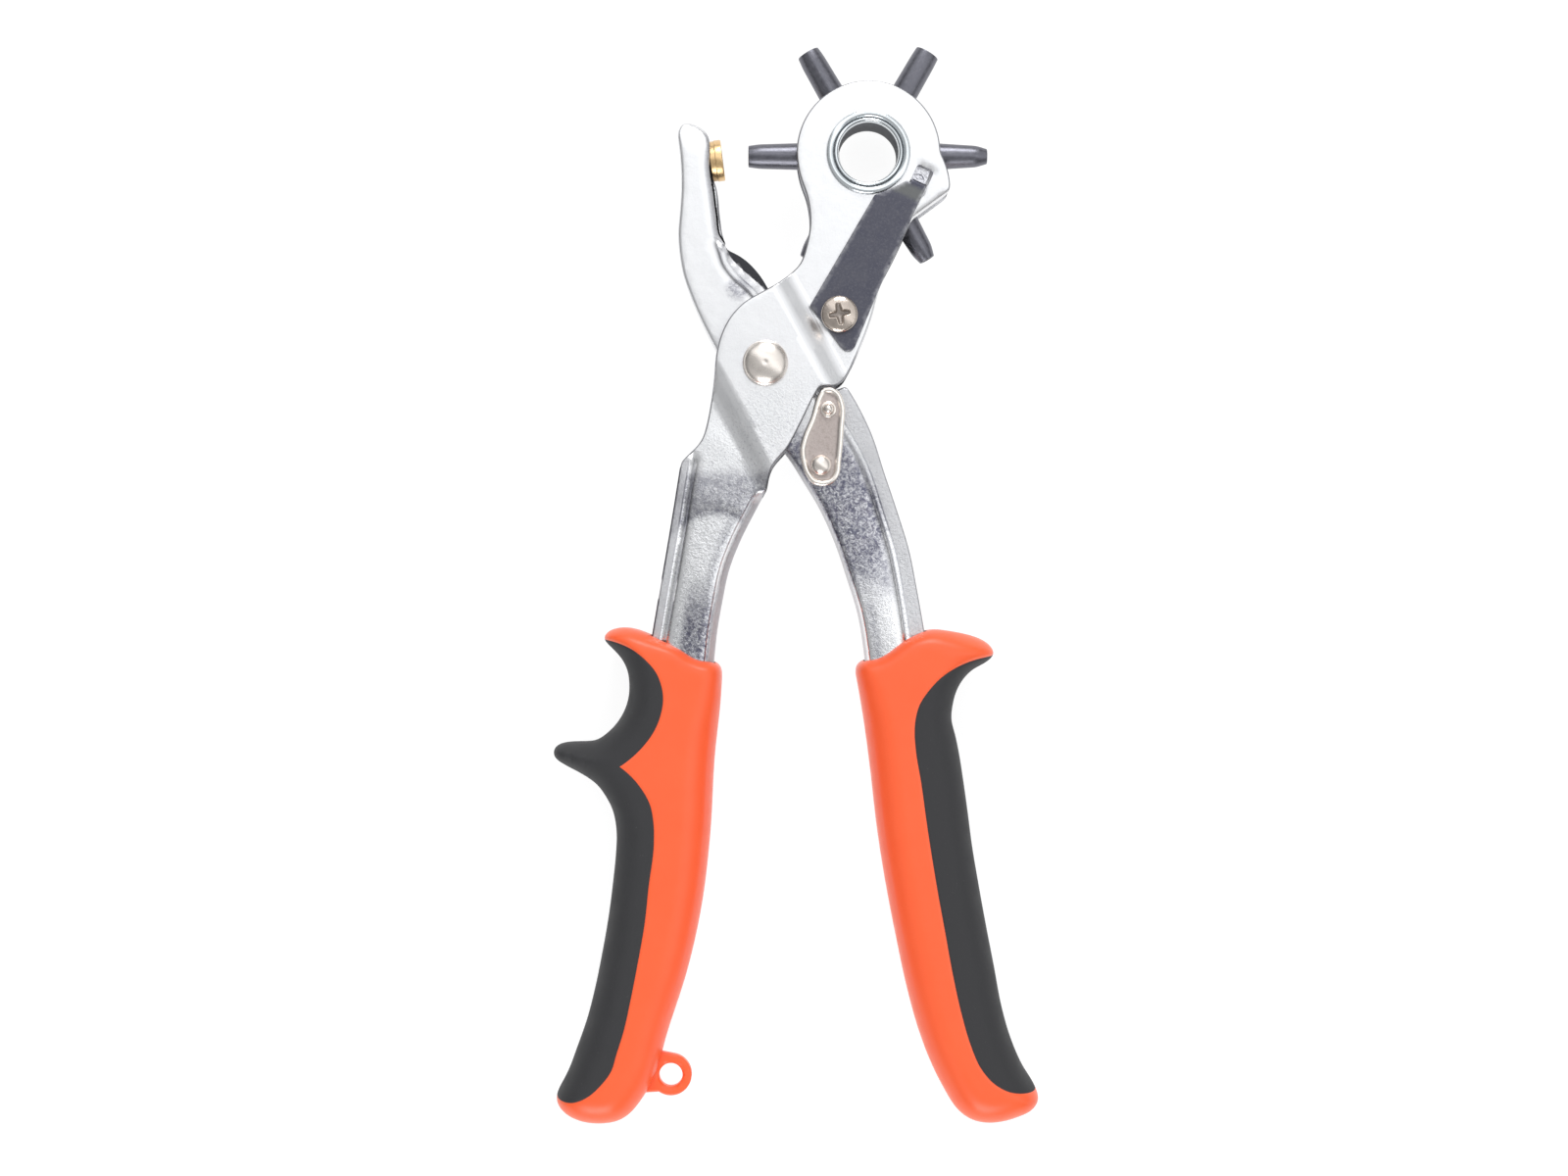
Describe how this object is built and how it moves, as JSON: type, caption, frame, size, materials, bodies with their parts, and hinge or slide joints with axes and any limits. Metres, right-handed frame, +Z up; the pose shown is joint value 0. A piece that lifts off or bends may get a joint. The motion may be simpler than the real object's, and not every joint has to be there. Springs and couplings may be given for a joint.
{
  "type": "rotary hole punch",
  "caption": "Hand tool with two riveted steel levers, a revolving turret of hollow punch tubes, a brass anvil, a storage latch and moulded grips.",
  "frame": {"origin": "on the pivot axis, at the flat rear head of the pivot rivet, which is on the surface the tool lies on", "axes": "+Z up out of the front face of the lying tool, +Y from the grips towards the turret head, +X towards the turret side"},
  "size_m": [0.1122, 0.2485, 0.022],
  "materials": {
    "zinc_steel": "bright zinc plate on pressed steel sheet",
    "nickel_steel": "warm nickel plate, half gloss",
    "hub_steel": "zinc plate, rolled edges",
    "orange_plastic": "moulded, satin",
    "soft_grip": "soft overmould, matt",
    "spring_steel": "blackened spring steel",
    "black_steel": "black oxide",
    "brass": "turned"
  },
  "bodies": {
    "wheel_lever": {"wheel_lever_channel": "zinc_steel", "pivot_rivet": "nickel_steel", "hub_sleeve": "hub_steel", "detent_screw": "nickel_steel", "left_grip_shell": "orange_plastic", "left_grip_inlay": "soft_grip", "return_spring": "spring_steel"},
    "turret": {"turret_ring": "zinc_steel", "punch_tube_2_0mm": "black_steel", "punch_tube_4_5mm": "black_steel", "punch_tube_4_0mm": "black_steel", "punch_tube_3_5mm": "black_steel", "punch_tube_3_0mm": "black_steel", "punch_tube_2_5mm": "black_steel"},
    "detent_leaf": {"detent_spring": "spring_steel"},
    "anvil_lever": {"anvil_lever_channel": "zinc_steel", "anvil_pad": "brass", "right_grip_shell": "orange_plastic", "right_grip_inlay": "soft_grip", "latch_rivet": "nickel_steel"},
    "latch": {"latch_plate": "nickel_steel", "latch_thumb_stud": "nickel_steel"}
  },
  "joints": [
    {"name": "lever_hinge", "type": "hinge", "parent": "wheel_lever", "child": "anvil_lever", "pos_m": [0, 0, 0.01], "axis": [0, 0, -1], "range_deg": [0, 6.4], "stiffness_Nm_per_rad": 1.5, "springref_deg": -34.38, "deforming": ["return_spring"]},
    {"name": "turret_spin", "type": "hinge", "parent": "wheel_lever", "child": "turret", "pos_m": [0.0236, 0.0485, 0.01], "axis": [0, 0, 1], "continuous": true},
    {"name": "detent_lift", "type": "hinge", "parent": "wheel_lever", "child": "detent_leaf", "pos_m": [0.0169, 0.0112, 0.01695], "axis": [0.859, -0.512, 0], "range_deg": [0, 1.5], "stiffness_Nm_per_rad": 0.5},
    {"name": "latch_swing", "type": "hinge", "parent": "anvil_lever", "child": "latch", "pos_m": [0.0127, -0.0233, 0.01655], "axis": [0, 0, -1], "range_deg": [0, 25]}
  ]
}
